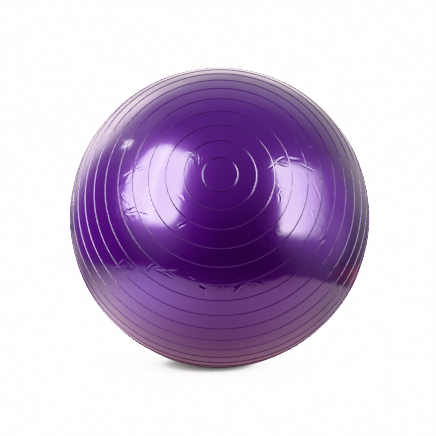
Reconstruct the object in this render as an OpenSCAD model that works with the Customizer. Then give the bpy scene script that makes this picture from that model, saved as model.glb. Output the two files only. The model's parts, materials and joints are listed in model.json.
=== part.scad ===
// Inflated exercise ball: a thin ribbed skin, a valve seat moulded into it and a push-in valve plug.
// Frame: origin on the floor under the ball's centre, +Z up, front pole of the ribs towards -Y and up.

/* [Ball] */
// Outside diameter of the inflated skin, between the ribs
ball_d = 650; // [450:50:850]
// Wall thickness of the inflated skin
wall_t = 0.8; // [0.5:0.1:1.0]
// Radius of the flat that the ball's own weight presses into it on the floor
contact_r = 30; // [20:1:45]
// Tilt of the front pole above level
pole_tilt = 18; // [0:1:30]

/* [Ribs] */
// Number of moulded ribs, odd so that one covers the mould's parting line at the equator
rib_count = 27; // [15:2:27]
// Angle from each pole to its first rib
rib_first = 6; // [6:0.5:12]
// Height of a rib above the skin
rib_h = 1.0; // [0.6:0.1:1.5]
// Width of a rib where it meets the skin
rib_w = 3.2; // [2.5:0.1:5]

/* [Valve seat] */
// Radius of the collar that fills the hole in the skin
collar_r = 13; // [12:0.5:16]
// Radius of the flange bonded under the skin
flange_r = 21; // [18:0.5:22]
// Thickness of the flange
flange_t = 1.6; // [1:0.1:2.5]
// Radius of the neck inside the ball
neck_r = 8.5; // [8:0.5:11]
// Depth of the neck below the skin's outer surface
neck_len = 15; // [12:0.5:20]
// Radius of the air bore
bore_r = 5; // [4:0.25:6]
// Depth of the dish that the plug's head sits in
dish_depth = 1.2; // [0.8:0.1:1.6]
// Radius of the dish
dish_r = 9.6; // [9.4:0.1:10.5]

/* [Valve plug] */
// Radius of the plug's head
head_r = 9; // [8:0.25:9]
// Thickness of the head at its rim
head_t = 1.8; // [1.4:0.1:2.4]
// Extra height of the head's domed middle
head_dome = 0.6; // [0.3:0.1:1]
// Length of the stem under the head
stem_len = 25; // [22:0.5:30]
// Clearance between the stem's sealing rings and the bore
seal_gap = 0.05; // [0.02:0.01:0.08]
// Number of sealing rings on the stem
seal_count = 3; // [2:1:4]

/* [Hidden] */
$fn = 256;

ball_r = ball_d / 2;
inner_r = ball_r - wall_t;
centre_z = sqrt(ball_r * ball_r - contact_r * contact_r);

// Larger than the ball, for half-planes and cutting boxes
big = 2 * ball_d;
// How far two shapes that join run into each other
overlap = 1;
// Length of the cutter that opens the hole in the skin
hole_cut = 20;

// Ribs: equal steps from the first rib to the equator, the same on both halves
rib_steps = (rib_count - 1) / 2;
rib_pitch = (90 - rib_first) / rib_steps;
// Depth of a rib's root in the skin
rib_root = 0.3;
shoulder_w = rib_w / 2;
shoulder_h = 0.75 * rib_h;

// How far the stem, its tip and its core lie inside the bore
stem_inset = 0.6;
tip_inset = 2;
core_inset = 3.2;

// Plug stem, from the head down
dish_floor = ball_r - dish_depth;
seal_r = bore_r - seal_gap;
stem_r = bore_r - stem_inset;
tip_r = bore_r - tip_inset;
tip_len = 6;
core_r = bore_r - core_inset;
core_wall = 5;

// Sealing rings: thickness, distance of the first from the head, and step
seal_t = 1.8;
seal_first = 3.5;
seal_pitch = 4.6;

skin_colour = "indigo";
seat_colour = "rebeccapurple";
plug_colour = "whitesmoke";

// Ball frame: centre of the ball, +Z out of the front pole
module in_ball_frame() {
    translate([0, 0, centre_z])
        rotate([90 - pole_tilt, 0, 0])
            children();
}

// Valve frame: centre of the ball, +Z out of the rear pole, where the valve is
module in_valve_frame() {
    in_ball_frame()
        rotate([180, 0, 0])
            children();
}

// Half-plane to the right of the pole axis, for profiles that are turned round it
module right_half() {
    translate([0, -big / 2])
        square([big, big]);
}

// Section across one rib, standing on the skin
module rib_section() {
    polygon([
        [-rib_w / 2, -rib_root],
        [rib_w / 2, -rib_root],
        [rib_w / 2, 0],
        [shoulder_w / 2, shoulder_h],
        [0, rib_h],
        [-shoulder_w / 2, shoulder_h],
        [-rib_w / 2, 0]
    ]);
}

// Outline of the skin's outer face with every rib, to the right of the pole axis
module ribbed_outline() {
    intersection() {
        union() {
            circle(r = ball_r);
            for (i = [0 : rib_count - 1]) {
                angle = rib_first + i * rib_pitch;
                translate([ball_r * sin(angle), ball_r * cos(angle)])
                    rotate(-angle)
                        rib_section();
            }
        }
        right_half();
    }
}

module ribbed_ball() {
    in_ball_frame()
        rotate_extrude()
            ribbed_outline();
}

module inner_ball() {
    in_ball_frame()
        rotate_extrude()
            intersection() {
                circle(r = inner_r);
                right_half();
            }
}

// Everything above a level plane
module above(z) {
    translate([-big / 2, -big / 2, z])
        cube([big, big, big]);
}

module ball_skin() {
    color(skin_colour)
        difference() {
            intersection() {
                ribbed_ball();
                above(0);
            }
            intersection() {
                inner_ball();
                above(wall_t);
            }
            in_valve_frame()
                translate([0, 0, ball_r - hole_cut / 2])
                    cylinder(r = collar_r, h = hole_cut);
        }
}

// Box in the profile plane, from the pole axis outwards
module profile_box(r, low, high) {
    translate([0, low])
        square([r, high - low]);
}

module seat_profile() {
    difference() {
        union() {
            intersection() {
                circle(r = ball_r);
                profile_box(collar_r, ball_r - wall_t - flange_t - overlap, ball_r + overlap);
            }
            intersection() {
                difference() {
                    circle(r = inner_r);
                    circle(r = inner_r - flange_t);
                }
                profile_box(flange_r, 0, big);
            }
            profile_box(neck_r, ball_r - neck_len, ball_r - wall_t - overlap);
        }
        profile_box(dish_r, dish_floor, big);
        profile_box(bore_r, 0, big);
    }
}

module valve_seat() {
    color(seat_colour)
        in_valve_frame()
            rotate_extrude()
                seat_profile();
}

// Domed disc: a cylinder under a spherical cap
module head_profile() {
    cap_r = (head_dome * head_dome + head_r * head_r) / (2 * head_dome);
    intersection() {
        translate([0, dish_floor + head_t + head_dome - cap_r])
            circle(r = cap_r);
        profile_box(head_r, dish_floor, dish_floor + head_t + head_dome);
    }
}

// Stem with its sealing rings and a pointed tip, hollow from the tip so that it can be squeezed in
module stem_profile() {
    tip_top = dish_floor - stem_len + tip_len;
    difference() {
        union() {
            profile_box(stem_r, tip_top, dish_floor);
            polygon([
                [0, tip_top - tip_len],
                [tip_r, tip_top - tip_len],
                [stem_r, tip_top],
                [0, tip_top]
            ]);
            for (i = [0 : seal_count - 1]) {
                top = dish_floor - seal_first - i * seal_pitch;
                profile_box(seal_r, top - seal_t, top);
            }
        }
        profile_box(core_r, tip_top - tip_len, dish_floor - core_wall);
    }
}

module valve_plug() {
    color(plug_colour)
        in_valve_frame()
            rotate_extrude()
                union() {
                    head_profile();
                    stem_profile();
                }
}

ball_skin();
valve_seat();
valve_plug();
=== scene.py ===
"""Looks of an inflated, ribbed PVC exercise ball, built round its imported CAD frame."""

import json
import math

import bmesh
import bpy
import numpy as np
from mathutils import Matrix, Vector


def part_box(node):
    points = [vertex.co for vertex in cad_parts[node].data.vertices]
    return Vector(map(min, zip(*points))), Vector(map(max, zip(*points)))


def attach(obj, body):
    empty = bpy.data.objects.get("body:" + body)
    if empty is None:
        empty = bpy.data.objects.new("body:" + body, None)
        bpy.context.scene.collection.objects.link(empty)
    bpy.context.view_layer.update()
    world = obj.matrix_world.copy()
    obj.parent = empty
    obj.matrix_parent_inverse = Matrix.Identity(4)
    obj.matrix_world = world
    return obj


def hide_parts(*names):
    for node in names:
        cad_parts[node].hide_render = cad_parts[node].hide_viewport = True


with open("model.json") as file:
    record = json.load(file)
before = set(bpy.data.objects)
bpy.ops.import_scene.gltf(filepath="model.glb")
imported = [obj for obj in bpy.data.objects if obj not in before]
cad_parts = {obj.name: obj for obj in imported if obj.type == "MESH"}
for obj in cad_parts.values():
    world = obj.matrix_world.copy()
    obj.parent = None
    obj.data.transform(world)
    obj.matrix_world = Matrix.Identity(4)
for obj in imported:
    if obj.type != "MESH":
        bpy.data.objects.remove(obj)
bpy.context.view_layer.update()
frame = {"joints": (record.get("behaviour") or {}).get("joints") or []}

# ---------------------------------------------------------------- sizes, in metres and degrees
RIB_COUNT = 27
RIB_FIRST = 6.0
RIB_HEIGHT = 0.0010
RIB_WIDTH = 0.0026
WALL = 0.0008
CONTACT_RADIUS = 0.030
COLLAR_RADIUS = 0.013
FLANGE_RADIUS = 0.021
FLANGE_THICKNESS = 0.0016
NECK_RADIUS = 0.0085
NECK_LENGTH = 0.015
BORE_RADIUS = 0.005
DISH_RADIUS = 0.0096
DISH_DEPTH = 0.0012
HEAD_RADIUS = 0.009
HEAD_THICKNESS = 0.0018
HEAD_DOME = 0.0006
STEM_LENGTH = 0.025
STEM_RADIUS = 0.0044
SEAL_RADIUS = 0.00495
CORE_RADIUS = 0.0018

low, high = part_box("ball_skin")
BALL_RADIUS = (high.x - low.x) / 2 - RIB_HEIGHT
INNER_RADIUS = BALL_RADIUS - WALL
CENTRE = Vector((0, 0, math.sqrt(BALL_RADIUS**2 - CONTACT_RADIUS**2)))
RIB_PITCH = (90 - RIB_FIRST) / ((RIB_COUNT - 1) / 2)

# The ball's own frame: the valve is at the rear pole, the ribs' blank disc is at the front pole
VALVE_AXIS = Vector(frame["joints"][0]["axis"]).normalized()
FRONT_POLE = -VALVE_AXIS
RIGHT = Vector((1, 0, 0))
TOP = FRONT_POLE.cross(RIGHT).normalized()


# ---------------------------------------------------------------- the skin's surface
def unit(polar, azimuth):
    """Unit vectors at polar angles from the front pole and azimuths clockwise from the top, in degrees."""
    p, a = np.radians(polar), np.radians(azimuth)
    axis, up, right = (np.array(v) for v in (FRONT_POLE, TOP, RIGHT))
    return (
        np.cos(p)[:, None] * axis
        + (np.sin(p) * np.cos(a))[:, None] * up
        + (np.sin(p) * np.sin(a))[:, None] * right
    )


def rib_relief(polar):
    """Height of the ribs: a smooth bead at each rib's polar angle."""
    height = np.zeros_like(polar)
    for i in range(RIB_COUNT):
        across = np.radians(polar - RIB_FIRST - i * RIB_PITCH) * BALL_RADIUS
        inside = np.abs(across) < RIB_WIDTH / 2
        height += np.where(inside, 0.5 + 0.5 * np.cos(2 * np.pi * across / RIB_WIDTH), 0)
    return RIB_HEIGHT * height


# Slow waves in the skin, in random directions
WAVES = 48
WAVE_SEED = 11
WAVE_LENGTHS = (0.055, 0.16)
WAVE_HEIGHT = 0.00006
# How many standard heights a wave may reach
WAVE_LIMIT = 2.5
rng = np.random.default_rng(WAVE_SEED)
wave_lengths = rng.uniform(*WAVE_LENGTHS, WAVES)
wave_turns = rng.normal(size=(WAVES, 3))
wave_turns /= np.linalg.norm(wave_turns, axis=1)[:, None]
wave_vectors = wave_turns * (2 * np.pi / wave_lengths)[:, None]
wave_phases = rng.uniform(0, 2 * np.pi, WAVES)


def undulation(direction):
    """Depth of the waves that an uneven wall leaves in an inflated skin, never above the true sphere."""
    at = direction @ wave_vectors.T * BALL_RADIUS + wave_phases
    wave = np.cos(at) @ (wave_lengths / wave_lengths.mean()) / math.sqrt(WAVES / 2)
    return WAVE_HEIGHT * (np.clip(wave, -WAVE_LIMIT, WAVE_LIMIT) - WAVE_LIMIT)


# Fold marks from the carton, in groups. Each group has its place, as a polar angle and an azimuth in
# degrees, and its arms. An arm has its heading in degrees (0 leads away from the front pole, 90 clockwise
# round it), its length, depth and half-width in millimetres, and its bow as a share of the length
FOLDS = [
    # Long fold on the left, bent where it crosses a rib
    ((31, -83), ((-20, 35, 0.40, 1.5, -0.04), (155, 30, 0.45, 1.2, -0.10))),
    # Pinch below it, with a tail
    ((37, -108), ((180, 30, 0.50, 1.4, 0.06), (-165, 35, 0.30, 1.2, -0.08))),
    ((32, -112), ((-140, 25, 0.35, 1.5, 0.05),)),
    # Fan of fine wrinkles left of the blank disc
    ((17, -113), ((-115, 25, 0.14, 1.6, 0.08), (-135, 20, 0.14, 1.8, 0.08), (-95, 15, 0.12, 1.6, -0.05))),
    ((12, -43), ((-125, 40, 0.10, 2.0, 0.03),)),
    ((10, -40), ((-130, 25, 0.08, 1.8, -0.03),)),
    ((24, -141), ((-155, 20, 0.20, 1.5, 0.14), (-150, 45, 0.12, 1.8, 0.05))),
    # Star on the upper right
    ((20, 75), ((-20, 25, 0.40, 1.3, 0.06), (150, 25, 0.20, 1.6, 0.04), (20, 30, 0.35, 1.4, -0.05))),
    ((24, 71), ((15, 40, 0.16, 2.6, -0.06),)),
    ((29, 77), ((25, 45, 0.18, 1.8, -0.04),)),
    # Forked fold above it, with a straight one beside
    ((35, 60), ((-50, 20, 0.30, 1.4, 0.06), (155, 15, 0.30, 1.4, 0.05), (-10, 25, 0.35, 1.4, 0.10))),
    ((34, 68), ((-5, 35, 0.35, 1.2, 0.02),)),
    # Short folds and two long streaks on the right
    ((21, 106), ((-50, 25, 0.25, 1.5, 0.06), (65, 20, 0.30, 1.5, 0.06))),
    ((33, 88), ((55, 55, 0.22, 2.0, 0.03),)),
    ((34, 108), ((35, 25, 0.22, 1.8, 0.03),)),
    # Lower left: a long fold, a short one, and a wide pair that run together
    ((55, -128), ((180, 55, 0.35, 1.6, 0.06),)),
    ((44, -140), ((-170, 30, 0.45, 1.5, 0.08),)),
    ((41, -142), ((-120, 60, 0.40, 2.2, -0.06), (-95, 50, 0.30, 1.8, 0.06), (-140, 20, 0.35, 1.4, 0.04))),
    ((60, -118), ((-90, 40, 0.25, 2.0, 0.04),)),
    # Hook and bar at the bottom
    ((40, -173), ((110, 18, 0.70, 2.2, 0.06), (0, 25, 0.55, 2.0, -0.12))),
    ((39, 168), ((45, 32, -0.70, 2.4, -0.04), (-155, 15, 0.25, 1.8, 0.04))),
    ((33, -158), ((-25, 25, 0.25, 1.4, -0.08),)),
    ((37, -161), ((-75, 20, 0.22, 1.5, -0.06),)),
    ((53, -172), ((0, 12, 0.35, 1.1, 0.0),)),
    # Faint bend near the top
    ((33, -23), ((90, 60, 0.10, 2.4, 0.06),)),
]
# Small round dents, as polar angle and azimuth in degrees, then depth and radius in millimetres; a negative
# depth is a pimple
DENTS = [
    (50, 116, 0.4, 2.6),
    (45, 118, 0.3, 2.4),
    (8, 98, -0.12, 1.4),
    (64, 162, -0.15, 1.3),
    (34, -177, -0.15, 1.2),
    (30, -154, -0.12, 1.2),
]
# Fold marks on the sides and the back, drawn at random from these ranges, in the same units as FOLDS
SCATTERED_FOLDS = 9
SCATTERED_SEED = 29
SCATTERED_POLAR = (62, 150)
SCATTERED_SWAY = 14
ARM_COUNT = (2, 4)
ARM_TURN = (70, 125)
ARM_LENGTH = (18, 40)
ARM_DEPTH = (0.3, 0.6)
ARM_HALF_WIDTH = (1.4, 2.0)
ARM_BOW = 0.12
# Height of a crease's raised shoulder as a share of its depth
SHOULDER = 0.45


def scattered_folds():
    """More fold marks on the sides and the back, in small groups that meet at a point, as folds do."""
    draw = np.random.default_rng(SCATTERED_SEED)
    made = []
    for group in range(SCATTERED_FOLDS):
        polar = draw.uniform(*SCATTERED_POLAR)
        azimuth = group * 360 / SCATTERED_FOLDS + draw.uniform(-SCATTERED_SWAY, SCATTERED_SWAY)
        heading = draw.uniform(0, 360)
        arms = []
        for arm in range(int(draw.integers(*ARM_COUNT))):
            turn = heading + arm * draw.uniform(*ARM_TURN)
            length = draw.uniform(*ARM_LENGTH)
            depth = draw.uniform(*ARM_DEPTH)
            half_width = draw.uniform(*ARM_HALF_WIDTH)
            arms.append((turn, length, depth, half_width, draw.uniform(-ARM_BOW, ARM_BOW)))
        made.append(((polar, azimuth), arms))
    return made


def local_axes(direction, start, end):
    """Distances along and across the line from start to end, for the points of a sphere near it."""
    along = end - start
    length = np.linalg.norm(along) * BALL_RADIUS
    along = along / np.linalg.norm(along)
    middle = (start + end) / 2
    middle = middle / np.linalg.norm(middle)
    across = np.cross(middle, along)
    offset = (direction - middle) * BALL_RADIUS
    return offset @ along, offset @ across, length


class Crease:
    """One fold mark: a narrow valley with a raised shoulder on one side, fading out at both ends."""

    def __init__(self, place, heading, length, depth, half_width, bow):
        polar, azimuth = place
        reach = math.degrees(length / 1000 / BALL_RADIUS)
        turn = math.radians(heading)
        end_polar = polar + reach * math.cos(turn)
        end_azimuth = azimuth + reach * math.sin(turn) / math.sin(math.radians((polar + end_polar) / 2))
        self.start, self.end = unit(
            np.array([polar, end_polar], float), np.array([azimuth, end_azimuth], float)
        )
        self.depth, self.half_width, self.bow = depth / 1000, half_width / 1000, bow
        middle = self.start + self.end
        self.middle = middle / np.linalg.norm(middle)
        self.length = np.linalg.norm(self.end - self.start) * BALL_RADIUS
        self.reach = self.length / 2 + 4 * self.half_width

    def near(self, direction):
        return direction @ self.middle > math.cos(self.reach / BALL_RADIUS)

    def relief(self, direction):
        along, across, length = local_axes(direction, self.start, self.end)
        share = np.clip(np.abs(along) / (length / 2), 0, 1)
        fade = (1 - share**3) ** 2
        width = self.half_width * (0.6 + 0.4 * fade)
        side = across - self.bow * length * (1 - share**2)
        valley = np.exp(-((side / width) ** 2))
        shoulder = np.exp(-(((side - 2 * width) / (1.3 * width)) ** 2))
        return self.depth * fade * (SHOULDER * shoulder - valley)


class Dent:
    """One small round dent, or pimple."""

    def __init__(self, polar, azimuth, depth, radius):
        self.middle = unit(np.array([float(polar)]), np.array([float(azimuth)]))[0]
        self.depth, self.radius = depth / 1000, radius / 1000
        self.reach = 3 * self.radius

    def near(self, direction):
        return direction @ self.middle > math.cos(self.reach / BALL_RADIUS)

    def relief(self, direction):
        away = np.linalg.norm(direction - self.middle, axis=1) * BALL_RADIUS
        return -self.depth * np.exp(-((away / self.radius) ** 2))


MARKS = [Crease(place, *arm) for place, arms in FOLDS + scattered_folds() for arm in arms]
MARKS += [Dent(*d) for d in DENTS]
FLANGE_PRINT = 0.00018
FLANGE_EDGE = 0.0015


def flange_relief(polar):
    """The skin stands a little proud over the seat's flange, which is welded under it."""
    from_pole = np.radians(180 - polar) * BALL_RADIUS
    inside = np.clip((FLANGE_RADIUS + FLANGE_EDGE - from_pole) / (2 * FLANGE_EDGE), 0, 1)
    return FLANGE_PRINT * inside * inside * (3 - 2 * inside)


def skin_points(direction):
    """Points of the skin's outer face in the given directions from the ball's centre."""
    polar = np.degrees(np.arccos(np.clip(direction @ np.array(FRONT_POLE), -1, 1)))
    radius = BALL_RADIUS + rib_relief(polar) + flange_relief(polar) + undulation(direction)
    for mark in MARKS:
        here = mark.near(direction)
        if here.any():
            radius[here] += mark.relief(direction[here])
    point = direction * radius[:, None] + np.array(CENTRE)
    soft = 0.0002
    point[:, 2] = 0.5 * (point[:, 2] + np.sqrt(point[:, 2] ** 2 + soft**2))
    return point


def skin_normals(direction):
    """Outward normals of the same surface, from points a little to each side."""
    step = 0.00004 / BALL_RADIUS
    helper = np.where(np.abs(direction[:, :1]) < 0.7, [[1.0, 0, 0]], [[0, 1.0, 0]])
    first = np.cross(direction, helper)
    first /= np.linalg.norm(first, axis=1)[:, None]
    second = np.cross(direction, first)

    def moved(tangent, sign):
        shifted = direction + sign * step * tangent
        return skin_points(shifted / np.linalg.norm(shifted, axis=1)[:, None])

    normal = np.cross(
        moved(first, 1) - moved(first, -1), moved(second, 1) - moved(second, -1)
    )
    return normal / np.linalg.norm(normal, axis=1)[:, None]


# ---------------------------------------------------------------- meshes
def new_object(name, mesh):
    made = bpy.data.objects.new(name, mesh)
    bpy.context.scene.collection.objects.link(made)
    return made


# Rows of the skin's mesh: polar angles on the front disc and round the valve, and places across a rib and
# between two ribs, as shares of the rib's width and pitch
FRONT_ROWS = (1.0, 2.2, 3.6, 4.8)
VALVE_ROWS = (175.4, 176.1, 176.5, 177.1)
ACROSS_RIB = (-0.6, -0.42, -0.22, 0, 0.22, 0.42, 0.6)
BETWEEN_RIBS = (0.35, 0.65)
SEGMENTS = 192
INNER_SEGMENTS = 64
INNER_ROWS = 30


def outer_rows():
    """Polar angles of the outer face's rows, from the front disc to the edge of the valve hole."""
    rows = list(FRONT_ROWS)
    for i in range(RIB_COUNT):
        rib = RIB_FIRST + i * RIB_PITCH
        rows += [rib + math.degrees(share * RIB_WIDTH / BALL_RADIUS) for share in ACROSS_RIB]
        if i < RIB_COUNT - 1:
            rows += [rib + RIB_PITCH * share for share in BETWEEN_RIBS]
    hole = 180 - math.degrees(math.asin(COLLAR_RADIUS / BALL_RADIUS))
    return [*rows, *VALVE_ROWS, hole]


def build_skin():
    """The whole skin as one closed shell: outer face, edge of the valve hole and inner face."""
    bm = bmesh.new()
    rows = outer_rows()
    azimuths = np.arange(SEGMENTS) * 360 / SEGMENTS
    front = bm.verts.new(FRONT_POLE)
    rings = []
    for polar in rows:
        around = unit(np.full(SEGMENTS, polar), azimuths)
        rings.append([bm.verts.new(v) for v in around])
    for j in range(SEGMENTS):
        k = (j + 1) % SEGMENTS
        bm.faces.new((front, rings[0][j], rings[0][k]))
        for a, b in zip(rings, rings[1:]):
            bm.faces.new((a[j], b[j], b[k], a[k]))
    refine_marks(bm)
    bm.verts.index_update()
    direction = np.array([v.co for v in bm.verts])
    direction /= np.linalg.norm(direction, axis=1)[:, None]
    outer = skin_points(direction)
    normals = skin_normals(direction)
    for v, place in zip(bm.verts, outer):
        v.co = place
    outer_count = len(bm.verts)
    edge = hole_edge(bm)

    # Inner face, from the valve hole forwards, joined to the hole's outer edge
    hole = math.degrees(math.asin(COLLAR_RADIUS / INNER_RADIUS))
    inner_azimuths = np.arange(INNER_SEGMENTS) * 360 / INNER_SEGMENTS
    inner_rings = []
    for i in range(INNER_ROWS):
        polar = 180 - hole - (180 - hole) * i / INNER_ROWS
        around = unit(np.full(INNER_SEGMENTS, polar), inner_azimuths)
        place = around * INNER_RADIUS + np.array(CENTRE)
        place[:, 2] = np.maximum(place[:, 2], WALL)
        inner_rings.append([bm.verts.new(v) for v in place])
    inner_pole = bm.verts.new(CENTRE + FRONT_POLE * INNER_RADIUS)
    ratio = SEGMENTS // INNER_SEGMENTS
    for j in range(INNER_SEGMENTS):
        k = (j + 1) % INNER_SEGMENTS
        rim = [edge[(j * ratio + s) % SEGMENTS] for s in range(ratio + 1)]
        bm.faces.new(rim[::-1] + [inner_rings[0][j], inner_rings[0][k]])
        for a, b in zip(inner_rings, inner_rings[1:]):
            bm.faces.new((a[j], b[j], b[k], a[k]))
        bm.faces.new((inner_rings[-1][j], inner_pole, inner_rings[-1][k]))
    bm.normal_update()
    bmesh.ops.recalc_face_normals(bm, faces=bm.faces)
    mesh = bpy.data.meshes.new("ball_skin_mesh")
    bm.to_mesh(mesh)
    bm.free()
    mesh.shade_smooth()
    made = new_object("ribbed_skin", mesh)
    set_normals(mesh, normals, outer_count)
    return made


def hole_edge(bm):
    """The outer face's open edge, round the valve hole, in order of azimuth."""

    def turn(v):
        away = v.co - CENTRE
        return math.atan2(away.dot(RIGHT), away.dot(TOP)) % (2 * math.pi - 1e-6)

    return sorted((v for v in bm.verts if v.is_boundary), key=turn)


# Cuts across each face near a fold mark, and how far they go past the mark
REFINE_CUTS = 4
REFINE_MARGIN = 0.0045


def refine_marks(bm):
    """Cuts the faces round each crease and dent finely, so that the mark is real shape."""
    faces = list(bm.faces)
    middles = np.array([f.calc_center_median() for f in faces])
    middles /= np.linalg.norm(middles, axis=1)[:, None]
    chosen = np.zeros(len(faces), bool)
    for mark in MARKS:
        near = middles @ mark.middle > math.cos((mark.reach + REFINE_MARGIN) / BALL_RADIUS)
        if isinstance(mark, Crease):
            index = np.nonzero(near)[0]
            along, across, length = local_axes(middles[index], mark.start, mark.end)
            band = 3 * mark.half_width + REFINE_MARGIN + abs(mark.bow) * length
            keep = (np.abs(along) < length / 2 + REFINE_MARGIN) & (np.abs(across) < band)
            chosen[index[keep]] = True
        else:
            chosen |= near
    edges = {e for f, wanted in zip(faces, chosen) if wanted for e in f.edges}
    bmesh.ops.subdivide_edges(bm, edges=list(edges), cuts=REFINE_CUTS, use_grid_fill=True)


def set_normals(mesh, outer_normals, outer_count):
    """Exact normals on the outer face, so that no facet shows in its gloss."""
    normals = np.array([v.normal for v in mesh.vertices])
    normals[:outer_count] = outer_normals
    mesh.normals_split_custom_set_from_vertices(normals.tolist())


def softened(profile, radii, steps=4):
    """The closed profile with each corner rounded by its radius."""
    made = []
    count = len(profile)
    for i, (corner, radius) in enumerate(zip(profile, radii)):
        here = Vector(corner)
        if radius == 0:
            made.append(here)
            continue
        back = (Vector(profile[i - 1]) - here).normalized()
        on = (Vector(profile[(i + 1) % count]) - here).normalized()
        half = back.angle(on) / 2
        reach = radius / math.tan(half)
        start, end = here + back * reach, here + on * reach
        for s in range(steps + 1):
            t = s / steps
            made.append(start * (1 - t) ** 2 + here * 2 * t * (1 - t) + end * t**2)
    return made


def lathe(name, profile, segments):
    """A closed profile turned round the valve axis: (radius, height), heights from the ball's centre."""
    side = RIGHT
    other = VALVE_AXIS.cross(side)
    bm = bmesh.new()
    rings = []
    for r, h in profile:
        base = CENTRE + VALVE_AXIS * h
        if r < ON_AXIS:
            rings.append([bm.verts.new(base)])
            continue
        turn = [2 * math.pi * j / segments for j in range(segments)]
        rings.append(
            [bm.verts.new(base + side * r * math.cos(t) + other * r * math.sin(t)) for t in turn]
        )
    for a, b in zip(rings, rings[1:] + rings[:1]):
        if len(a) == 1 and len(b) == 1:
            continue
        for j in range(segments):
            k = (j + 1) % segments
            ring = [a[j % len(a)], b[j % len(b)], b[k % len(b)], a[k % len(a)]]
            bm.faces.new(list(dict.fromkeys(ring)))
    bmesh.ops.recalc_face_normals(bm, faces=bm.faces)
    mesh = bpy.data.meshes.new(name + "_mesh")
    bm.to_mesh(mesh)
    bm.free()
    mesh.shade_smooth()
    return new_object(name, mesh)


VALVE_SEGMENTS = 96
# Radius below which a profile's point is on the axis
ON_AXIS = 1e-7
# Gap line between the seat and the skin
JOINT_GAP = 0.00008
# How far the collar's inner edge and its middle stand above its outer edge
LIP_HEIGHT = 0.0001
COLLAR_BULGE = 0.00022
# Depth of the neck's shoulder below the flange
NECK_SHOULDER = 0.001


def build_seat():
    """The valve seat: dished collar in the skin's hole, welded flange under it, and the bore's neck."""
    surface = math.sqrt(BALL_RADIUS**2 - COLLAR_RADIUS**2)
    under = BALL_RADIUS - FLANGE_THICKNESS - WALL - NECK_SHOULDER
    floor = BALL_RADIUS - DISH_DEPTH
    collar = COLLAR_RADIUS - JOINT_GAP
    rim = (COLLAR_RADIUS + DISH_RADIUS) / 2
    flange_top = INNER_RADIUS - JOINT_GAP
    flange_low = INNER_RADIUS - FLANGE_THICKNESS

    def on_sphere(radius, r):
        return math.sqrt(radius**2 - r**2)

    profile = [
        (BORE_RADIUS, BALL_RADIUS - NECK_LENGTH),
        (BORE_RADIUS, floor),
        (DISH_RADIUS, floor),
        (DISH_RADIUS, surface + LIP_HEIGHT),
        (rim, surface + COLLAR_BULGE),
        (collar, surface),
        (collar, on_sphere(flange_top, collar)),
        (FLANGE_RADIUS, on_sphere(flange_top, FLANGE_RADIUS)),
        (FLANGE_RADIUS, on_sphere(flange_low, FLANGE_RADIUS)),
        (COLLAR_RADIUS, on_sphere(flange_low, COLLAR_RADIUS)),
        (NECK_RADIUS, under),
        (NECK_RADIUS, BALL_RADIUS - NECK_LENGTH),
    ]
    rounding = [0.0004, 0.0004, 0.0004, 0.0003, 0.001, 0.0002, 0, 0.0004, 0.0006, 0.001, 0.0008, 0.0008]
    return lathe("valve_seat_insert", softened(profile, rounding), VALVE_SEGMENTS)


SEALS = 3
SEAL_FIRST = 0.0035
SEAL_PITCH = 0.0046
SEAL_WIDTH = 0.0018
TIP_LENGTH = 0.006
TIP_RADIUS = 0.003
CORE_WALL = 0.005
# Places of the dome's rings, as shares of the head's radius
DOME_RINGS = (0.9, 0.75, 0.6, 0.45)
# Moulding gate mark in the dome's middle: (radius, depth below the crown)
GATE_MARK = ((0.0022, 0.00012), (0.0017, 0.0004), (0, 0.0005))
# How far the rim's rounded edge starts below the head's rim
RIM_DROP = 0.0002


def build_plug():
    """The push-in plug: low domed head, stem with rounded sealing rings, tapered tip with a blind core."""
    floor = BALL_RADIUS - DISH_DEPTH
    rim = floor + HEAD_THICKNESS
    crown = rim + HEAD_DOME
    tip = floor - STEM_LENGTH
    cap = (HEAD_DOME**2 + HEAD_RADIUS**2) / (2 * HEAD_DOME)
    dome = [
        (r, crown - cap + math.sqrt(cap**2 - r**2))
        for r in (HEAD_RADIUS * share for share in DOME_RINGS)
    ]
    gate = [(r, crown - depth) for r, depth in GATE_MARK]
    profile = [(0, floor - CORE_WALL), (CORE_RADIUS, floor - CORE_WALL), (CORE_RADIUS, tip)]
    rounding = [0, 0.0006, 0.0004]
    profile += [(TIP_RADIUS, tip), (STEM_RADIUS, tip + TIP_LENGTH)]
    rounding += [0.0008, 0.0008]
    for i in reversed(range(SEALS)):
        top = floor - SEAL_FIRST - i * SEAL_PITCH
        profile += [
            (STEM_RADIUS, top - SEAL_WIDTH),
            (SEAL_RADIUS, top - 0.75 * SEAL_WIDTH),
            (SEAL_RADIUS, top - 0.25 * SEAL_WIDTH),
            (STEM_RADIUS, top),
        ]
        rounding += [0.0002, 0.0003, 0.0003, 0.0002]
    profile += [(STEM_RADIUS, floor), (HEAD_RADIUS, floor), (HEAD_RADIUS, rim - RIM_DROP)]
    rounding += [0.0003, 0.0003, 0.0006]
    outline = softened(profile, rounding) + [Vector(p) for p in dome + gate]
    return lathe("push_in_plug", outline, VALVE_SEGMENTS)


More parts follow.
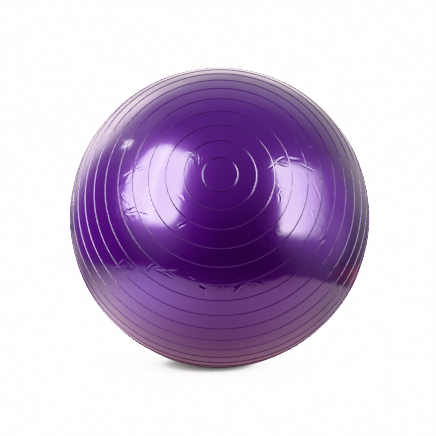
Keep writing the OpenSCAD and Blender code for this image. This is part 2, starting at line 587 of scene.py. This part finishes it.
# ---------------------------------------------------------------- materials
class Nodes:
    """Short calls for building the nodes of a material or a world."""

    def __init__(self, owner):
        self.tree = owner.node_tree

    def add(self, kind, **inputs):
        node = self.tree.nodes.new(kind)
        for name, value in inputs.items():
            self.set(node, name, value)
        return node

    def set(self, node, name, value):
        key = name.replace("_", " ")
        if hasattr(node, name) and key not in node.inputs:
            setattr(node, name, value)
        elif isinstance(value, bpy.types.NodeSocket):
            self.tree.links.new(value, node.inputs[key])
        else:
            node.inputs[key].default_value = value

    def noise(self, at, scale, detail=2.0, roughness=0.5):
        return self.add(
            "ShaderNodeTexNoise", Vector=at, Scale=scale, Detail=detail, Roughness=roughness
        ).outputs["Fac"]

    def ramp(self, value, *stops):
        """A colour ramp; each stop is (position, colour) with the colour as one grey number or three."""
        node = self.tree.nodes.new("ShaderNodeValToRGB")
        self.tree.links.new(value, node.inputs["Fac"])
        elements = node.color_ramp.elements
        for i, (place, colour) in enumerate(stops):
            element = elements[i] if i < 2 else elements.new(place)
            element.position = place
            grey = isinstance(colour, (int, float))
            element.color = (colour, colour, colour, 1) if grey else (*colour, 1)
        return node.outputs["Color"]

    def math(self, operation, a, b=0.0):
        node = self.tree.nodes.new("ShaderNodeMath")
        node.operation = operation
        for socket, value in zip(node.inputs, (a, b)):
            if isinstance(value, bpy.types.NodeSocket):
                self.tree.links.new(value, socket)
            else:
                socket.default_value = value
        return node.outputs["Value"]

    def mix(self, factor, a, b):
        """Colour a where the factor is nought and b where it is one."""
        node = self.tree.nodes.new("ShaderNodeMix")
        node.data_type = "RGBA"
        for socket, value in zip((node.inputs[0], node.inputs[6], node.inputs[7]), (factor, a, b)):
            if isinstance(value, bpy.types.NodeSocket):
                self.tree.links.new(value, socket)
            else:
                socket.default_value = value if isinstance(value, float) else (*value, 1)
        return node.outputs[2]

    def smooth(self, value, start, end, low=0.0, high=1.0):
        """A smooth step from low at start to high at end."""
        step = self.add("ShaderNodeMapRange", interpolation_type="SMOOTHSTEP")
        self.tree.links.new(value, step.inputs["Value"])
        for key, number in zip(("From Min", "From Max", "To Min", "To Max"), (start, end, low, high)):
            step.inputs[key].default_value = number
        return step.outputs["Result"]

    def distance(self, at, place):
        node = self.add("ShaderNodeVectorMath", operation="DISTANCE")
        self.tree.links.new(at, node.inputs[0])
        node.inputs[1].default_value = place
        return node.outputs["Value"]

    def bump(self, height, distance, after=None):
        node = self.add("ShaderNodeBump", Height=height, Distance=distance, Strength=1.0)
        if after is not None:
            self.tree.links.new(after, node.inputs["Normal"])
        return node.outputs["Normal"]


def new_material(name):
    material = bpy.data.materials.new(name)
    material.use_nodes = True
    nodes = material.node_tree.nodes
    shader = nodes["Principled BSDF"]
    tools = Nodes(material)
    at = tools.add("ShaderNodeTexCoord").outputs["Object"]
    return material, tools, shader, at


PEARL_DARK = (0.040, 0.004, 0.092)
PEARL_LIGHT = (0.048, 0.005, 0.110)
# Painted shade: the skin's colour is darkened by this share towards this dark colour along the ribs'
# crests, standing in for the dark lines that the ribs show in the gloss
RIB_SHADE_SHARE = 0.25
PAINTED_RIB_SHADE = (0.006, 0.002, 0.008)
DUST = (0.45, 0.40, 0.50)
PEEL_DEPTH = 0.00005
WRINKLE_DEPTH = 0.00022
GRAIN_DEPTH = 0.00001


def pearl_pvc():
    """Pearl-purple PVC: a rough metallic lobe from the pigment under a clear, slightly rippled gloss."""
    material, n, shader, at = new_material("pearl_purple_pvc")
    cloud = n.noise(at, 5.0, 3.0)
    grain = n.noise(at, 900.0, 2.0, 0.7)
    tone = n.math("ADD", n.math("MULTIPLY", cloud, 0.7), n.math("MULTIPLY", grain, 0.3))
    colour = n.ramp(tone, (0.3, PEARL_DARK), (0.7, PEARL_LIGHT))
    # Painted shade: darker along the ribs' crests
    colour = n.mix(n.math("MULTIPLY", on_rib(n, at), RIB_SHADE_SHARE), colour, PAINTED_RIB_SHADE)
    colour = n.mix(dust_specks(n, at), colour, DUST)
    smudge = n.ramp(n.noise(at, 14.0, 5.0, 0.6), (0.35, 0.35), (0.7, 0.41))
    peel = n.noise(at, 95.0, 2.0, 0.45)
    n.set(shader, "Base Color", colour)
    n.set(shader, "Roughness", smudge)
    gloss = n.bump(peel, PEEL_DEPTH, n.bump(wrinkles(n, at), WRINKLE_DEPTH))
    fine = n.bump(grain, GRAIN_DEPTH, gloss)
    n.set(shader, "Normal", fine)
    n.set(shader, "Coat Normal", gloss)
    shader.inputs["Metallic"].default_value = 0.62
    shader.inputs["Specular IOR Level"].default_value = 0.25
    shader.inputs["Coat Weight"].default_value = 1.0
    shader.inputs["Coat Roughness"].default_value = 0.11
    shader.inputs["Coat IOR"].default_value = 1.5
    return material


def on_rib(n, at):
    """One along the ribs and nought between them, by the polar angle from the front pole."""
    away = n.add("ShaderNodeVectorMath", operation="SUBTRACT")
    n.tree.links.new(at, away.inputs[0])
    away.inputs[1].default_value = CENTRE
    outward = n.add("ShaderNodeVectorMath", operation="NORMALIZE")
    n.tree.links.new(away.outputs["Vector"], outward.inputs[0])
    along = n.add("ShaderNodeVectorMath", operation="DOT_PRODUCT")
    n.tree.links.new(outward.outputs["Vector"], along.inputs[0])
    along.inputs[1].default_value = FRONT_POLE
    polar = n.math("MULTIPLY", n.math("ARCCOSINE", along.outputs["Value"]), 180 / math.pi)
    ribs = n.math("DIVIDE", n.math("SUBTRACT", polar, RIB_FIRST), RIB_PITCH)
    offset = n.math("SUBTRACT", n.math("FRACT", n.math("ADD", ribs, 0.5)), 0.5)
    half = math.degrees(RIB_WIDTH / 2 / BALL_RADIUS) / RIB_PITCH
    return n.ramp(n.math("ABSOLUTE", offset), (0.5 * half, 1.0), (1.2 * half, 0.0))


def dust_specks(n, at):
    """A few tiny pale specks."""
    cells = n.add("ShaderNodeTexVoronoi", Vector=at, Scale=65.0)
    lot = n.add("ShaderNodeSeparateColor", Color=cells.outputs["Color"]).outputs["Red"]
    few = n.ramp(lot, (0.86, 0.0), (0.88, 1.0))
    near = n.ramp(cells.outputs["Distance"], (0.02, 1.0), (0.045, 0.0))
    return n.math("MULTIPLY", few, near)


def wrinkles(n, at):
    """Fine crossing wrinkles in patches, where the skin was crumpled in its carton."""
    field = n.add(
        "ShaderNodeTexNoise", Vector=at, Scale=30.0, Detail=1.5, Roughness=0.45, Distortion=1.4
    )
    away = n.math("ABSOLUTE", n.math("SUBTRACT", field.outputs["Fac"], 0.5))
    ridge = n.math("POWER", n.math("SUBTRACT", 1.0, n.math("MULTIPLY", away, 3.5)), 3.0)
    patch = n.ramp(n.noise(at, 7.0, 2.0, 0.6), (0.48, 0.0), (0.66, 1.0))
    return n.math("MULTIPLY", ridge, patch)


SCUFF_DEPTH = 0.00002
SEAT_DARK = (0.05, 0.012, 0.13)
SEAT_LIGHT = (0.075, 0.02, 0.17)
SEAT_DUST = (0.3, 0.27, 0.33)
PLUG_DARK = (0.74, 0.725, 0.70)
PLUG_LIGHT = (0.82, 0.81, 0.79)
PLUG_MARKS = (0.5, 0.47, 0.45)


def seat_pvc():
    """The seat's solid purple PVC, duller than the skin, with dust in the dish."""
    material, n, shader, at = new_material("seat_purple_pvc")
    cloud = n.noise(at, 60.0, 4.0)
    dust = n.noise(at, 900.0, 3.0, 0.7)
    colour = n.ramp(cloud, (0.3, SEAT_DARK), (0.75, SEAT_LIGHT))
    n.set(shader, "Base Color", n.mix(n.ramp(dust, (0.62, 0.0), (0.8, 0.25)), colour, SEAT_DUST))
    n.set(shader, "Roughness", n.ramp(dust, (0.3, 0.28), (0.7, 0.46)))
    n.set(shader, "Normal", n.bump(dust, SCUFF_DEPTH))
    shader.inputs["Coat Weight"].default_value = 0.3
    shader.inputs["Coat Roughness"].default_value = 0.15
    return material


def plug_pvc():
    """Off-white, slightly translucent plug plastic with handling marks."""
    material, n, shader, at = new_material("plug_white_pvc")
    cloud = n.noise(at, 120.0, 4.0)
    mark = n.noise(at, 700.0, 4.0, 0.7)
    colour = n.ramp(cloud, (0.3, PLUG_DARK), (0.7, PLUG_LIGHT))
    n.set(shader, "Base Color", n.mix(n.ramp(mark, (0.6, 0.0), (0.85, 0.4)), colour, PLUG_MARKS))
    n.set(shader, "Roughness", n.ramp(mark, (0.3, 0.32), (0.75, 0.5)))
    n.set(shader, "Normal", n.bump(mark, SCUFF_DEPTH))
    shader.inputs["Subsurface Weight"].default_value = 0.2
    shader.inputs["Subsurface Scale"].default_value = 0.004
    return material


# ---------------------------------------------------------------- the pieces
skin = build_skin()
skin.data.materials.append(pearl_pvc())
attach(skin, "ball")
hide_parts("ball_skin")

seat = build_seat()
seat.data.materials.append(seat_pvc())
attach(seat, "ball")
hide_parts("valve_seat")

plug = build_plug()
plug.data.materials.append(plug_pvc())
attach(plug, "plug")
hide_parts("valve_plug")


# ---------------------------------------------------------------- studio
CAMERA_AZIMUTH = -0.3
CAMERA_ELEVATION = 3.2
CAMERA_DISTANCE = 7.7 * BALL_RADIUS
CAMERA_LENS = 94.6
CAMERA_FAR_CLIP = 50
# Where the camera aims, from the ball's centre
FRAMING = Vector((-0.0033, 0, -0.0015))


def compass(azimuth, elevation):
    """A direction from the ball's centre: azimuth 0 is towards the front, 90 towards +X; degrees."""
    a, e = math.radians(azimuth), math.radians(elevation)
    return Vector((math.sin(a) * math.cos(e), -math.cos(a) * math.cos(e), math.sin(e)))


def add_camera():
    data = bpy.data.cameras.new("camera")
    data.lens = CAMERA_LENS
    data.clip_end = CAMERA_FAR_CLIP
    camera = bpy.data.objects.new("camera", data)
    bpy.context.scene.collection.objects.link(camera)
    camera.location = CENTRE + compass(CAMERA_AZIMUTH, CAMERA_ELEVATION) * CAMERA_DISTANCE
    aim = CENTRE + FRAMING - camera.location
    camera.rotation_euler = aim.to_track_quat("-Z", "Y").to_euler()
    bpy.context.scene.camera = camera


REAR_LIGHT_POWER = 12.0
REAR_LIGHT_SIZE = 1.6
REAR_LIGHT_DISTANCE = 2.0
REAR_LIGHT_AZIMUTH = 160
REAR_LIGHT_ELEVATION = 20


def add_rear_light():
    """A soft light behind the ball, for the valve's side; the ball's gloss doesn't show it."""
    data = bpy.data.lights.new("rear_light", "AREA")
    data.energy = REAR_LIGHT_POWER
    data.size = REAR_LIGHT_SIZE
    light = bpy.data.objects.new("rear_light", data)
    bpy.context.scene.collection.objects.link(light)
    toward = compass(REAR_LIGHT_AZIMUTH, REAR_LIGHT_ELEVATION)
    light.location = CENTRE + toward * REAR_LIGHT_DISTANCE
    light.rotation_euler = (CENTRE - light.location).to_track_quat("-Z", "Y").to_euler()
    light.visible_glossy = False
    light.visible_camera = False


# The floor glows up to plain white between these distances from the middle of its contact shadow. The
# shadow is painted: its size and place come from this fade of the glow, and only inside it does the floor
# show the lights' own shade
GLOW_FROM = 0.03
GLOW_TO = 0.27
PAINTED_SHADOW_SOFTNESS = 2.0
PAINTED_SHADOW_CENTRE = (-0.03, 0.005, 0)
PURE_WHITE = 12.0
FLOOR_GREY = (0.93, 0.93, 0.93, 1)
FLOOR_ROUGHNESS = 0.8


def floor_material():
    """Pale floor with a painted contact shadow: its glow fades out round the shadow's centre, where the
    floor shows the lights' own shade, and rises to plain white away from it.
    """
    material, n, shader, at = new_material("floor_white")
    shader.inputs["Base Color"].default_value = FLOOR_GREY
    shader.inputs["Roughness"].default_value = FLOOR_ROUGHNESS
    shader.inputs["Specular IOR Level"].default_value = 0.0
    shader.inputs["Emission Color"].default_value = (1, 1, 1, 1)
    # Painted shadow: the floor's glow fades to nought round the shadow's centre
    fade = n.smooth(n.distance(at, PAINTED_SHADOW_CENTRE), GLOW_FROM, GLOW_TO)
    painted_glow = n.math("MULTIPLY", n.math("POWER", fade, PAINTED_SHADOW_SOFTNESS), PURE_WHITE)
    n.set(shader, "Emission Strength", painted_glow)
    return material


def flat_sheet(name, outline, height):
    """A level sheet from its outline's points."""
    mesh = bpy.data.meshes.new(name + "_mesh")
    mesh.from_pydata([(x, y, height) for x, y in outline], [], [range(len(outline))])
    made = new_object(name, mesh)
    return made


# Share of the studio's light that reaches dull surfaces; the ball's gloss gets all of it
FILL = 0.3
NEUTRAL = (1, 0.98, 0.97)
PAPER_GLOW = 2.45
# Tints of the paper's painted glow in the ball's gloss: towards the left, the right, behind and under the
# ball
PAPER_LEFT = (0.82, 0.62, 1.0)
PAPER_RIGHT = (0.94, 0.62, 0.84)
PAPER_BEHIND = (1.0, 0.78, 0.88)
PAPER_UNDER = (1.0, 0.58, 0.72)
# Brighter and darker painted spots on the paper's glow, painted pools of light and the ball's painted
# shadow: centre, reach, and what is added to one at the centre
PAPER_PAINTED_SPOTS = (
    ((-0.40, -0.36, 0), 0.45, 0.75),
    ((-0.01, 0.03, 0), 0.47, -0.92),
    ((0.42, 0.35, 0), 0.7, -0.6),
    ((-0.55, 0.4, 0), 0.8, -0.35),
    ((0.34, 0.06, 0), 0.34, -0.45),
)
# The paper's painted glow dims to these shares far from the ball and behind it
FAR_SHARE = 0.4
BEHIND_SHARE = 0.65
FLOOR_HALF = 6.0
FLOOR_DROP = 0.0005
# Outline of the paper, anticlockwise from its front left corner
PAPER_OUTLINE = (
    (-0.50, -0.55), (-0.1, -0.50), (0.05, -0.475), (0.2, -0.465), (0.40, -0.44), (0.50, -0.29),
    (0.56, 0.0), (0.55, 0.7), (0.9, 2.6), (-2.4, 2.6), (-0.95, 0.6), (-0.80, 0.0), (-0.68, -0.3),
)


def paper_material():
    """Glow of the white paper under the ball, painted to stand for the light it would give back, least of
    all in the ball's painted shadow.
    """
    material = bpy.data.materials.new("paper_white")
    material.use_nodes = True
    n = Nodes(material)
    n.tree.nodes.clear()
    at = n.add("ShaderNodeTexCoord").outputs["Object"]
    total = PAPER_GLOW
    # Painted light and shade: brighter and darker pools on the paper's glow, one of them the ball's shadow
    for centre, reach, gain in PAPER_PAINTED_SPOTS:
        spot = n.smooth(n.distance(at, centre), reach, 0, 1, 1 + gain)
        total = n.math("MULTIPLY", spot, total)
    away = n.distance(at, (0, 0, 0))
    total = n.math("MULTIPLY", n.smooth(away, 0.45, 0.9, 1, FAR_SHARE), total)
    split = n.add("ShaderNodeSeparateXYZ", Vector=at)
    total = n.math("MULTIPLY", n.smooth(split.outputs["Y"], -0.15, 0.35, 1, BEHIND_SHARE), total)
    front = n.math("MULTIPLY", split.outputs["Y"], -1.0)
    sideways = n.math("ADD", split.outputs["X"], 0.5)
    ahead = n.ramp(sideways, (0.1, PAPER_LEFT), (0.55, PAPER_RIGHT))
    tint = n.mix(n.ramp(front, (0.0, 0.0), (0.3, 1.0)), PAPER_BEHIND, ahead)
    tint = n.mix(n.ramp(away, (0.10, 1.0), (0.38, 0.0)), tint, PAPER_UNDER)
    for_gloss = n.add("ShaderNodeLightPath").outputs["Is Glossy Ray"]
    shown = n.mix(for_gloss, NEUTRAL, tint)
    dimmed = n.math("MULTIPLY", dimming(n, for_gloss), total)
    glow = n.add("ShaderNodeEmission", Color=shown, Strength=dimmed)
    out = n.add("ShaderNodeOutputMaterial")
    n.tree.links.new(glow.outputs["Emission"], out.inputs["Surface"])
    return material


def dimming(n, for_gloss):
    """One for the ball's gloss and FILL for all other light."""
    return n.math("ADD", n.math("MULTIPLY", for_gloss, 1 - FILL), FILL)


def add_floor():
    """The pale floor, and the sheet of white paper on it that the ball's gloss shows, with painted light
    and shade in its glow.
    """
    half = FLOOR_HALF
    floor = flat_sheet("floor", ((-half, -half), (half, -half), (half, half), (-half, half)), -FLOOR_DROP)
    floor.data.materials.append(floor_material())
    floor.visible_glossy = False
    floor.visible_diffuse = False
    paper = flat_sheet("paper", PAPER_OUTLINE, 0.0)
    paper.data.materials.append(paper_material())
    paper.visible_camera = False
    paper.visible_shadow = False


class Sky:
    """Light of the studio by direction: azimuth 0 is towards the front, 90 towards +X, in degrees."""

    def __init__(self, nodes):
        self.n = nodes
        at = nodes.add("ShaderNodeTexCoord").outputs["Generated"]
        split = nodes.add("ShaderNodeSeparateXYZ", Vector=at)
        forward = nodes.math("MULTIPLY", split.outputs["Y"], -1.0)
        self.azimuth = self.degrees(nodes.math("ARCTAN2", split.outputs["X"], forward))
        self.from_rear = self.degrees(nodes.math("ARCTAN2", split.outputs["X"], split.outputs["Y"]))
        self.elevation = self.degrees(nodes.math("ARCSINE", split.outputs["Z"]))
        self.rearward = split.outputs["Y"]
        self.total = None

    def degrees(self, angle):
        return self.n.math("MULTIPLY", angle, 180 / math.pi)

    def add(self, light):
        self.total = light if self.total is None else self.n.math("ADD", self.total, light)

    def box(self, strength, corners, soft, turn=None):
        """A softbox: corners as (azimuth, elevation), anticlockwise, each side with its own softness."""
        turn = turn or self.azimuth
        light = strength
        for (a, b), (c, d), blur in zip(corners, corners[1:] + corners[:1], soft):
            length = math.hypot(c - a, d - b)
            across = self.n.math("MULTIPLY", self.n.math("SUBTRACT", turn, a), -(d - b) / length)
            rise = self.n.math("MULTIPLY", self.n.math("SUBTRACT", self.elevation, b), (c - a) / length)
            inside = self.n.math("ADD", across, rise)
            light = self.n.math("MULTIPLY", self.n.smooth(inside, -blur / 2, blur / 2), light)
        self.add(light)

    def glow(self, strength, azimuth, elevation, wide, high):
        """A soft round glow that fades to nothing at its half-width and half-height."""
        x = self.n.math("MULTIPLY", self.n.math("SUBTRACT", self.azimuth, azimuth), 1 / wide)
        y = self.n.math("MULTIPLY", self.n.math("SUBTRACT", self.elevation, elevation), 1 / high)
        squares = self.n.math("ADD", self.n.math("POWER", x, 2.0), self.n.math("POWER", y, 2.0))
        self.add(self.n.math("MULTIPLY", self.n.smooth(squares, 1, 0), strength))


ROOM_WHITE = (1, 0.96, 0.93, 1)
WARM_BROWN = (1, 0.2, 0.25, 1)
WALL_CREAM = (1, 0.93, 0.84, 1)
CEILING_VIOLET = (0.5, 0.05, 1, 1)


def white_lights(n):
    """The room's pale dome, its softboxes and the haze of white round them."""
    sky = Sky(n)
    sky.add(n.smooth(sky.elevation, -20, 60, 0.12, 0.70))
    # Left softbox, in an outer and an inner part
    sky.box(24, [(-75, 7), (-66, 2), (-50, 0), (-54, 50), (-70, 47), (-77, 29)], (6, 5, 5, 7, 9, 9))
    sky.box(24, [(-56, -1), (-38, -3), (-31, 4), (-29.5, 48), (-59, 49)], (6, 6, 6, 7, 9))
    # Right softbox, dimmer towards its right edge
    sky.box(9, [(45, -8), (74, -10), (85, 28), (66, 37), (49, 40)], (7, 26, 9, 6, 5))
    sky.box(9, [(45, -8), (62, -10), (67, 36), (49, 40)], (6, 16, 6, 4))
    # Small lamp high on the left
    sky.box(16, [(-106.5, 34), (-99, 36.5), (-99.5, 41), (-107, 38)], (2, 3, 2, 3))
    sky.glow(0.5, -52, 24, 50, 44)
    sky.glow(0.3, 68, 14, 50, 40)
    sky.glow(0.3, 118, 6, 48, 30)
    sky.glow(0.8, 80, -16, 45, 26)
    sky.glow(0.8, -48, -8, 32, 24)
    sky.glow(0.4, -100, 42, 30, 22)
    return sky.total


def violet_lights(n):
    """The violet sheen that the pearl pigment adds, strongest overhead and beside the softboxes."""
    top = Sky(n)
    overhead = n.smooth(top.elevation, 0, 60, 0.0, 0.95)
    top.add(n.math("MULTIPLY", overhead, n.smooth(top.rearward, 1.0, 0.1)))
    top.glow(1.0, -105, 2, 50, 38)
    top.glow(0.45, -5, 20, 42, 26)
    top.glow(0.9, -32, -6, 34, 24)
    top.glow(1.5, 88, 3, 38, 36)
    return top.total


def wall_lights(n):
    """Cream walls behind the ball, which its rim reflects; azimuths are from the rear."""
    wall = Sky(n)
    backdrop = [(-44, 6), (-18, 2), (-14, 50), (-34, 52), (-50, 42), (-56, 26)]
    wall.box(1.5, backdrop, (24, 40, 14, 14, 14, 14), wall.from_rear)
    whole = [(-44, 4), (60, 0), (60, 50), (-34, 52), (-56, 26)]
    wall.box(0.34, whole, (16, 60, 16, 16, 16), wall.from_rear)
    wall.box(1.0, [(-8, 4), (20, 2), (20, 34), (-8, 38)], (10, 16, 14, 14), wall.from_rear)
    wall.box(0.3, [(-85, 46), (60, 46), (60, 80), (-85, 80)], (26, 30, 20, 30), wall.from_rear)
    wall.glow(1.3, -136, 34, 24, 17)
    return wall.total


def warm_lights(n):
    """Low brown streaks on both sides, where the floor meets the walls."""
    warm = Sky(n)
    right = [(96, -30), (135, -22), (168, -10), (168, -5), (135, -16), (96, -25)]
    warm.box(0.4, right, (3, 3, 6, 5, 5, 6))
    warm.box(0.4, [(-98, -29), (-55, -31), (-55, -26), (-98, -23)], (3, 10, 4, 10))
    return warm.total


def add_world():
    """White where the camera looks past everything; the studio's lights and walls for all other rays."""
    world = bpy.data.worlds.new("studio")
    bpy.context.scene.world = world
    world.use_nodes = True
    n = Nodes(world)
    n.tree.nodes.clear()
    path = n.add("ShaderNodeLightPath")
    for_gloss = path.outputs["Is Glossy Ray"]
    dimmed = dimming(n, for_gloss)
    light = None
    for colour, strength in (
        (ROOM_WHITE, n.math("MULTIPLY", white_lights(n), dimmed)),
        (WARM_BROWN, warm_lights(n)),
        (CEILING_VIOLET, n.math("MULTIPLY", violet_lights(n), for_gloss)),
        (WALL_CREAM, n.math("MULTIPLY", wall_lights(n), dimmed)),
    ):
        part = n.add("ShaderNodeBackground", Color=colour, Strength=strength).outputs["Background"]
        if light is None:
            light = part
            continue
        both = n.add("ShaderNodeAddShader")
        n.tree.links.new(light, both.inputs[0])
        n.tree.links.new(part, both.inputs[1])
        light = both.outputs["Shader"]
    seen = n.add("ShaderNodeBackground", Color=(1, 1, 1, 1), Strength=PURE_WHITE)
    mix = n.add("ShaderNodeMixShader", Fac=path.outputs["Is Camera Ray"])
    n.tree.links.new(light, mix.inputs[1])
    n.tree.links.new(seen.outputs["Background"], mix.inputs[2])
    out = n.add("ShaderNodeOutputWorld")
    n.tree.links.new(mix.outputs["Shader"], out.inputs["Surface"])


add_camera()
add_rear_light()
add_floor()
add_world()
bpy.context.scene.view_settings.view_transform = "Khronos PBR Neutral"
